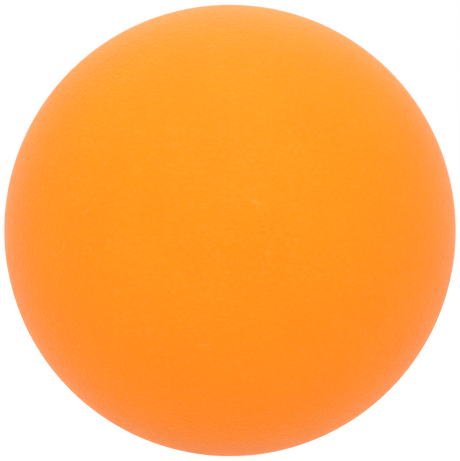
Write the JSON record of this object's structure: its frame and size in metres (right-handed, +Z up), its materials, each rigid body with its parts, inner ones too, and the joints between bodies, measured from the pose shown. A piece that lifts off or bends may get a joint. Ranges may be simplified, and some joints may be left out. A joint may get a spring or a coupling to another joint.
{
  "type": "table tennis ball",
  "caption": "Hollow sphere of frosted orange plastic, made of two thin half shells lapped and cemented at an inner seam.",
  "frame": {"origin": "centre of the ball", "axes": "+Z up; +Y along the seam's axis, from the front half shell to the rear half shell, so the seam lies in the XZ plane; +X to the right seen from the front half"},
  "size_m": [0.04, 0.04, 0.04],
  "materials": {
    "orange_plastic": "frosted",
    "set_cement": "satin"
  },
  "bodies": {
    "root": {"front_half_shell": "orange_plastic", "rear_half_shell": "orange_plastic", "seam_cement": "set_cement"}
  },
  "joints": []
}
